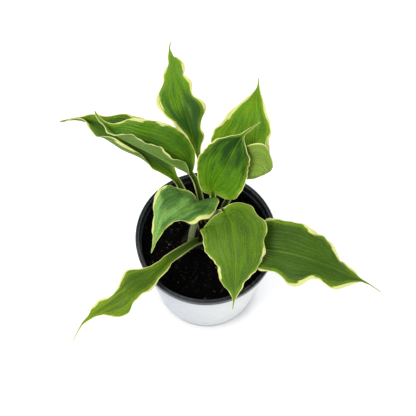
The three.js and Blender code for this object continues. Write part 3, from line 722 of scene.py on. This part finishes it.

# %% [markdown]
# ## The leaves' finish
# Each leaf mixes its own light and dark green by patches, which carry a painted shade along
# the leaf, and lays pale green over them at the margin, the veins and the midrib. The
# underside is a dull grey green, and the petiole has its own. A low, slightly warm gloss
# keeps the green deep: under a pale sky a full white one would turn it bluish.

# %% Leaf material
CREAM = paint(204, 204, 128)
PALE_GREEN, PALE_UNDER = paint(112, 144, 16), paint(150, 168, 88)
STALK_GREENS = paint(58, 88, 12), paint(92, 120, 30)
STALK_UNDERS = paint(106, 118, 76), paint(140, 150, 110)


def veined(masks, green, pale, shares):
    for name, share in shares.items():
        green = mix(times(masks[name], share), green, pale)
    return green


def stalked(masks, stalk, green, stalk_greens):
    fibrous = mix(ramp(masks["Fibre"], 0.4, 0.6), *stalk_greens)
    return mix(stalk, green, fibrous)


def shading(masks, upper, where):
    """Fine specks and fibres that lighten and darken the green a little, partly painted relief shade.
    """
    speck = ramp(grain(where, 700, 3), 0.3, 0.7, 0.82, 1.22)
    depth = ramp(upper, 0, 1, 0.08, 0.13)
    thread = times(ramp(masks["Fibre"], 0.4, 0.6, 1, -1), depth)
    thread = maths("ADD", thread, ramp(upper, 0, 1, 0.95, 0.88))
    shade = times(speck, thread)
    return place(shade, shade, shade)


def leaf_material(name, light, dark, under, seed, margin, shade_along):
    def build(tree, shader):
        pattern = tree.nodes.new("ShaderNodeGroup")
        pattern.node_tree = LEAF_PATTERN
        for socket, value in (("Seed", seed), ("Margin", margin), ("Deepen", shade_along)):
            pattern.inputs[socket].default_value = value
        masks = pattern.outputs
        along, upper, where = own(tree, "along"), own(tree, "upper"), object_place(tree)
        stalk = ramp(along, -0.1, 0.01, 1, 0)

        # the patches mix random tone with the painted shade along the leaf
        patched_and_shaded = mix(masks["Patch"], dark, light)
        green = veined(masks, patched_and_shaded, PALE_GREEN, {"Pale": 0.6, "Vein": 0.4, "Midrib": 0.32})
        green = stalked(masks, stalk, green, STALK_GREENS)
        below = mix(0.3, under, patched_and_shaded)
        below = veined(masks, below, PALE_UNDER, {"Vein": 0.2, "Midrib": 0.5})
        below = stalked(masks, stalk, below, STALK_UNDERS)

        both = mix(upper, below, green)
        both = mix(1, both, shading(masks, upper, where), "MULTIPLY")
        rim = times(masks["Cream"], ramp(along, -0.6, 0, 0.25, 0.9))
        colour = mix(rim, both, CREAM)
        rough = maths("ADD", ramp(upper, 0, 1, 0.6, 0.45), times(masks["Fibre"], 0.12))
        skin = times(grain(where, 900, 2), 0.3)
        height = maths("ADD", times(masks["Fibre"], 0.7), skin)
        surface(shader, colour, rough, height, 0.00025, 0.8, specular=0.24)
        shader.inputs["Specular Tint"].default_value = (0.92, 1, 0.68, 1)

    return finish(name, build)


print("cream in linear light:", np.round(CREAM, 2))

# %% [markdown]
# ## Make the leaves
# A skin is the grid of the upper side, the same grid moved down by the thickness, and a
# strip that joins the two all round. Rows are close at the joint, where the blade turns.

# %% The grid of a leaf's skin
PETIOLE_ROWS, JOINT_ROWS, BLADE_ROWS, HALF_COLUMNS = 22, 16, 101, 49


def leaf_rows(leaf):
    base = leaf["base"]
    joint = base - JOINT_SHARE
    t = np.linspace(0, 1, BLADE_ROWS)
    blade = base + (1 - base) * (0.4 * t**2 + 0.6 * t)
    petiole = np.linspace(0, joint, PETIOLE_ROWS)[:-1]
    return np.concatenate([petiole, np.linspace(joint, base, JOINT_ROWS)[:-1], blade])


def leaf_columns():
    half = np.linspace(0, 1, HALF_COLUMNS) ** 0.96
    return np.concatenate([-half[:0:-1], half])


def skin_faces(rows, columns):
    """Quads of both sides, wound to face outwards, and the strip round the edge."""
    lower = rows * columns
    faces = []
    for i in range(rows - 1):
        for k in range(columns - 1):
            a = i * columns + k
            b = a + columns
            faces.append((a, a + 1, b + 1, b))
            faces.append((lower + a, lower + b, lower + b + 1, lower + a + 1))
    edge = [*range(0, lower, columns), *range(lower - columns + 1, lower)]
    edge += [*range(lower - columns - 1, 0, -columns), *range(columns - 2, 0, -1)]
    for a, b in zip(edge, edge[1:] + edge[:1]):
        faces.append((a, b, lower + b, lower + a))
    return faces


print("rows and columns:", len(leaf_rows(LEAVES[0])), len(leaf_columns()))

# %% [markdown]
# ## Nine greens
# Young leaves are bright and some are bluish, while the leaves turned from the light get
# deeper greens, which is painted shade. For each leaf: its light green, dark green and
# underside, the width of its cream margin in millimetres, and how much its green darkens
# from the joint to the tip by painted shade (below zero: it pales).

# %% Leaf pieces
# the darker greens of leaves turned from the light are painted shade
TINTS_AND_SHADE = {
    "leaf_back": ((82, 126, 6), (24, 68, 0), (98, 114, 44), 1.5, -1.1),
    "leaf_back_right": ((110, 150, 10), (74, 118, 4), (112, 132, 56), 1.3, 0.2),
    "leaf_centre": ((74, 120, 0), (14, 60, 2), (106, 128, 46), 0.6, 0.8),
    "leaf_left_upper": ((80, 124, 6), (56, 100, 2), (92, 118, 50), 1.4, 0),
    "leaf_left_under": ((62, 102, 4), (36, 72, 0), (106, 126, 66), 1.0, 0),
    "leaf_centre_left": ((116, 160, 74), (56, 96, 32), (112, 124, 84), 2.3, -0.7),
    "leaf_front": ((82, 116, 12), (60, 94, 12), (100, 118, 46), 1.4, 0),
    "leaf_right": ((56, 88, 0), (44, 74, 0), (98, 114, 46), 1.9, 0),
    "leaf_front_left": ((100, 128, 12), (54, 84, 0), (102, 116, 50), 1.1, -0.5),
}
SUNK = 0.15  # the skin lies this far under the plain surface, and its puffs reach up to it
SEED_STEP = 3.7  # from one leaf's pattern to the next


def make_leaf(leaf, number):
    share, vein = leaf_rows(leaf), leaf_columns()
    here = upper_side(leaf, share, vein)
    normal = facing(leaf, share, vein, here)
    height, width = relief(leaf, share, vein, number)
    top = here + normal * (height - SUNK)[..., None]
    under = top - normal * thickness(leaf, share, vein, width)[..., None]
    base = leaf["base"]
    along = np.where(share < base, share / base - 1, (share - base) / (1 - base))
    grid = np.ones_like(width)
    both_sides = {"along": along[:, None] * grid, "across": vein * grid, "reach": width}
    values = {key: np.tile(numbers.ravel(), 2) for key, numbers in both_sides.items()}
    values["upper"] = np.concatenate([grid.ravel(), 0 * grid.ravel()])
    name = leaf["name"]
    *greens, margin, shade_along = TINTS_AND_SHADE[name]
    light, dark, below = (paint(*c) for c in greens)
    material = leaf_material(name + "_green", light, dark, below, SEED_STEP * number, margin, shade_along)
    points = np.concatenate([top.reshape(-1, 3), under.reshape(-1, 3)])
    faces = skin_faces(len(share), len(vein))
    piece(name + "_blade", points, faces, material, [name], values, sharp=75)


for number, leaf in enumerate(LEAVES):
    make_leaf(leaf, number)

# %% [markdown]
# ## The pot
# A trade nursery pot is thin black plastic: a tapered wall, a skirt and a rim with two
# ridges, a stacking bead inside, drain holes in the floor. A profile turned about the axis
# gives all but the holes, which a Boolean cuts. The plain solid has the same profile in 56
# flats, so this one only rounds it.

# %% Pot profile
def wall_radius(z):
    return 64 + 16 * z / 161.5


WALL = 1.8  # thickness
POT_PROFILE = [
    (0, 0), (60, 0), (62.6, 0.1), (63.6, 0.5), (64, 1.3), (wall_radius(80), 80),
    (wall_radius(160.8), 160.8), (80.6, 161.4), (81.9, 161.5), (82.3, 161.7), (82.5, 162.2),
    (82.5, 165.2), (82.35, 165.6), (82.35, 166.3), (82.5, 166.7), (82.5, 169.1), (82.3, 169.7),
    (81.8, 170), (80.9, 170), (80.5, 169.7), (80.2, 169.1), (79.9, 169.1), (79.6, 169.6),
    (79, 169.7), (78.4, 169.7), (77.9, 169.3), (77.8, 168.8), (77.8, 159.2), (77.4, 158.4),
    (76.6, 158), (76.5, 157), (76.6, 156.2), (77.2, 155), (wall_radius(153) - WALL, 153),
    (wall_radius(80) - WALL, 80), (62.6, 3.6), (61.6, 2.6), (60, 2.4), (0, 2.4),
]
print("pot's greatest radius:", max(r for r, z in POT_PROFILE))


# %% Pot plastic
def plastic_nodes(tree, shader):
    where = object_place(tree)
    cloud = grain(where, 40, 4)
    smear = grain(stretched(where, (1, 1, 0.12)), 260, 3)
    dust = times(ramp(cloud, 0.45, 0.72), ramp(smear, 0.4, 0.7))
    black = mix(ramp(smear, 0.3, 0.7), paint(18, 21, 25), paint(30, 35, 40))
    dusty = mix(times(dust, 0.35), black, paint(96, 98, 96))
    rough = ramp(smear, 0.2, 0.8, 0.3, 0.52)
    height = maths("ADD", grain(where, 700, 2), smear)
    surface(shader, dusty, rough, height, 0.00012, 0.7)


POT_PLASTIC = finish("pot_plastic", plastic_nodes)
print("pot plastic nodes:", len(POT_PLASTIC.node_tree.nodes))


# %% Pot with its drain holes
HOLES, HOLE_RADIUS, HOLE_CIRCLE = 8, 5, 47
POT_SIDES = 160


def plain_mesh(made):
    """Applies what modifiers do to a mesh and takes them off again."""
    result = made.evaluated_get(bpy.context.evaluated_depsgraph_get())
    mesh = bpy.data.meshes.new_from_object(result)
    made.modifiers.clear()
    made.data = mesh


pot = shaped("nursery_pot", *turned(POT_PROFILE, POT_SIDES))
cutters = []
for i in range(HOLES):
    angle = 2 * math.pi * (i + 0.5) / HOLES
    bpy.ops.mesh.primitive_cylinder_add(vertices=24, radius=HOLE_RADIUS * MM, depth=9 * MM)
    cutter = bpy.context.object
    x, y = HOLE_CIRCLE * MM * math.cos(angle), HOLE_CIRCLE * MM * math.sin(angle)
    cutter.location = (x, y, 1.2 * MM)
    cutters.append(cutter)
    hole = pot.modifiers.new("hole", "BOOLEAN")
    hole.object = cutter
    hole.solver = "EXACT"
bpy.context.view_layer.update()
plain_mesh(pot)
for cutter in cutters:
    bpy.data.objects.remove(cutter)
dressed(pot, POT_PLASTIC, sharp=50)
settle(pot, ["pot"])

# %% [markdown]
# ## The wrap label
# A thin film is wrapped round the wall and laps over itself at the back. It is turned like
# the pot, with a small step for the lap, and blank: a pale blue-grey that fades to white
# towards +x, a painted fade of light and shade across the film.

# %% Label
LAP_HEIGHT, LAP_MIDDLE = 0.35, 97  # millimetres and degrees
LABEL_SIDES = 240
LABEL_HEIGHTS = [11.2, 11, 11, 11.2, 60, 110, 159.8, 160, 160, 159.8]
LABEL_STAND = [0.3, 0.45, 0.75, 0.9, 0.9, 0.9, 0.9, 0.75, 0.45, 0.3]  # off the wall


def label_place(r, angle, z):
    lap = LAP_HEIGHT * smooth(np.cos(angle - math.radians(LAP_MIDDLE)), 0.994, 0.9965)
    r = wall_radius(z) + r + (lap if r > 0.5 else 0)
    return r * np.cos(angle), r * np.sin(angle), z


def film_and_painted_light_nodes(tree, shader):
    where = object_place(tree)
    x = join("SeparateXYZ", {0: where}).outputs[0]
    drift = maths("ADD", x, times(grain(where, 14, 2), 0.02))
    # painted light and shade: the film is greyer on the -x side and lighter towards +x
    fade = ramp(drift, -0.075, 0.045)
    pale = mix(fade, paint(168, 172, 182), paint(196, 197, 196))
    film = grain(where, 120, 3)
    surface(shader, pale, ramp(film, 0.3, 0.7, 0.36, 0.5), film, 0.0002, 0.5)


LABEL_FILM = finish("label_film", film_and_painted_light_nodes)
points, faces = turned(list(zip(LABEL_STAND, LABEL_HEIGHTS)), LABEL_SIDES, label_place)
piece("blank_label", points, faces, LABEL_FILM, ["pot_label"])

# %% [markdown]
# ## The potting mix
# Peat and composted bark, nearly black. A bump map would leave a straight edge against the
# pot's wall, so the bed has real lumps: two slow waves for the hollows that watering leaves
# and a fractal noise for the clods.

# %% Bed of potting mix
SOIL_HEIGHT, SOIL_EDGE = 149, 76.2
SOIL_RINGS, SOIL_SIDES = 60, 160


def soil_height(x, y):
    bumps = math.sin(x * 0.31 + 1.3 * math.sin(y * 0.17)) + math.sin(y * 0.37 + x * 0.11 + 2)
    lumps = noise.fractal(Vector((x, y, 0)) * 0.22, 1.0, 2.0, 4)
    mound = 0.8 * (1 - (x * x + y * y) / SOIL_EDGE**2)
    return SOIL_HEIGHT + 0.8 * bumps + mound + 1.1 * lumps - 0.4


def soil_place(r, angle, z):
    x, y = r * math.cos(angle), r * math.sin(angle)
    return x, y, soil_height(x, y) if z > 140 else z


def mix_nodes(tree, shader):
    where = object_place(tree)
    crumb = grain(where, 420, 6, 0.65)
    clod = grain(where, 90, 3)
    peat = mix(ramp(crumb, 0.35, 0.7), paint(1, 1, 1), paint(6, 6, 5))
    peat = mix(ramp(clod, 0.5, 0.75), peat, paint(4, 4, 3))
    surface(shader, peat, 1, crumb, 0.0012, specular=0.06)


PEAT = finish("peat_and_bark", mix_nodes)
rings = [SOIL_EDGE * i / SOIL_RINGS for i in range(SOIL_RINGS - 1, 0, -1)]
bed_profile = [(0, 2.8), (61.5, 2.8), (SOIL_EDGE, SOIL_HEIGHT)] + [(r, SOIL_HEIGHT) for r in rings]
points, faces = turned(bed_profile + [(0, SOIL_HEIGHT)], SOIL_SIDES, soil_place)
piece("potting_mix_bed", points, faces, PEAT, ["potting_mix"])

# %% [markdown]
# ## Strewing crumbs
# Thousands of crumbs lie on the bed, too many to place by hand. Geometry Nodes strews
# points over it, puts a small stone on each with a random turn and size, makes the lot
# real and knocks its corners about with noise.

# %% Strewing tree
MOST_TURN = (0.9, 0.9, 6.28)  # radians about each axis
KNOCK, KNOCK_BACK = (0.0016, 0.0016, 0.0012), (-0.0008, -0.0008, -0.0006)  # metres


def strewing_tree(name, flat, material):
    tree, given, results = new_group(
        name, "GeometryNodeTree",
        ("INPUT", "Geometry", "Geometry"), ("INPUT", "Float", "Number", "Smallest", "Largest"),
        ("INPUT", "Int", "Seed"), ("OUTPUT", "Geometry", "Geometry"),
    )

    def step(kind, inputs, out=0, family="GeometryNode", **settings):
        return add(tree, kind, inputs, family, **settings).outputs[out]

    scatter = {"Mesh": given["Geometry"], "Density": given["Number"], "Seed": given["Seed"]}
    spots = step("DistributePointsOnFaces", scatter, "Points")
    stone = step("MeshIcoSphere", {"Subdivisions": 1, "Radius": 1.0}, "Mesh")
    stone = step("Transform", {"Geometry": stone, "Scale": flat}, "Geometry")
    turn = step("RandomValue", {1: MOST_TURN}, 0, "FunctionNode", data_type="FLOAT_VECTOR")
    size = step("RandomValue", {2: given["Smallest"], 3: given["Largest"]}, 1, "FunctionNode")
    laid = {"Points": spots, "Instance": stone, "Rotation": turn, "Scale": size}
    laid = step("InstanceOnPoints", laid, "Instances")
    real = step("RealizeInstances", {"Geometry": laid}, "Geometry")
    noise_colour = step("TexNoise", {"Scale": 900}, "Color", "ShaderNode")
    shift = {0: noise_colour, 1: KNOCK, 2: KNOCK_BACK}
    shift = step("VectorMath", shift, 0, "ShaderNode", operation="MULTIPLY_ADD")
    knocked = step("SetPosition", {"Geometry": real, "Offset": shift}, "Geometry")
    ready = step("SetMaterial", {"Geometry": knocked, "Material": material}, "Geometry")
    tree.links.new(ready, results["Geometry"])
    return tree


print("a crumb turns, in radians, by up to:", MOST_TURN)


# %% Strewing over the bed
DISC_SIDES, DISC_RINGS = 96, 34
DISC_INNER, DISC_OUTER = 3, 74.5


def disc():
    """A copy of the bed's top, a little sunk, for the crumbs to stand on."""
    angles = np.arange(DISC_SIDES) * 2 * np.pi / DISC_SIDES
    radii = np.linspace(DISC_INNER, DISC_OUTER, DISC_RINGS)
    points = [(r * math.cos(a), r * math.sin(a)) for r in radii for a in angles]
    points = [(x, y, soil_height(x, y) - 0.2) for x, y in points]
    faces = []
    for inner in range(0, (DISC_RINGS - 1) * DISC_SIDES, DISC_SIDES):
        outer = inner + DISC_SIDES
        for i in range(DISC_SIDES):
            j = (i + 1) % DISC_SIDES
            faces.append((outer + i, outer + j, inner + j, inner + i))
    return points, faces


def strewn(name, flat, material, number, smallest, largest, seed):
    """Crumbs over the bed: number for each square metre, sizes in millimetres."""
    made = shaped(name, *disc())
    modifier = made.modifiers.new("strew", "NODES")
    modifier.node_group = strewing_tree(name + "_tree", flat, material)
    given = dict(Number=float(number), Smallest=smallest * MM, Largest=largest * MM, Seed=seed)
    for socket in modifier.node_group.interface.items_tree:
        if socket.in_out == "INPUT" and socket.name in given:
            modifier[socket.identifier] = given[socket.name]
    plain_mesh(made)
    settle(made)


strewn("peat_crumbs", (1, 0.8, 0.7), PEAT, 260000, 0.5, 1.7, seed=4)

# %% [markdown]
# ## Bark and perlite
# Bark chips are flat, long and brown, a few of them tan, and perlite is a rare white grain.
# Each is the same strewing with its own flatness, number and finish.

# %% Bark chips and perlite
def bark_nodes(tree, shader):
    where = object_place(tree)
    streak = grain(stretched(where, (1, 0.25, 1)), 900, 4)
    each = grain(where, 130, 1)
    bark = mix(ramp(each, 0.4, 0.62), paint(4, 3, 3), paint(30, 20, 12))
    bark = mix(ramp(each, 0.66, 0.7), bark, paint(104, 84, 52))
    bark = mix(ramp(streak, 0.35, 0.7, 0, 0.6), bark, paint(3, 3, 2))
    surface(shader, bark, 0.9, streak, 0.0006, specular=0.15)


def perlite_nodes(tree, shader):
    pits = grain(object_place(tree), 1400, 3)
    white = mix(ramp(pits, 0.3, 0.7), paint(190, 186, 176), paint(236, 234, 228))
    surface(shader, white, 0.8, pits, 0.0004)


BARK, PERLITE = finish("bark", bark_nodes), finish("perlite", perlite_nodes)
strewn("bark_chips", (1.7, 0.8, 0.35), BARK, 30000, 0.8, 2.6, seed=9)
strewn("perlite_grains", (1, 0.9, 0.8), PERLITE, 260, 0.5, 1.1, seed=5)

# %% [markdown]
# ## The crown
# The petioles rise out of a fleshy crown at the level of the mix. The plain solid has its
# shape and a socket for each petiole, so it stays and gets a fibrous finish with earthy
# patches, its browns kept near black as painted shade from the leaves over it.

# %% Crown finish
def crown_nodes(tree, shader):
    where = object_place(tree)
    fibre = grain(stretched(where, (1, 1, 0.2)), 500, 5)
    earth = grain(where, 160, 4)
    # painted shade: the fibre browns are kept near black for the shade under the leaves
    shaded_flesh = mix(ramp(fibre, 0.3, 0.7), paint(18, 16, 10), paint(44, 44, 22))
    shaded_flesh = mix(ramp(earth, 0.38, 0.6), paint(8, 6, 5), shaded_flesh)
    surface(shader, shaded_flesh, 0.95, fibre, 0.001, specular=0.08)


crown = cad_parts["root_crown"]
crown.data.materials.clear()
crown.data.materials.append(finish("crown_flesh", crown_nodes))
print("crown finish:", crown.data.materials[0].name)
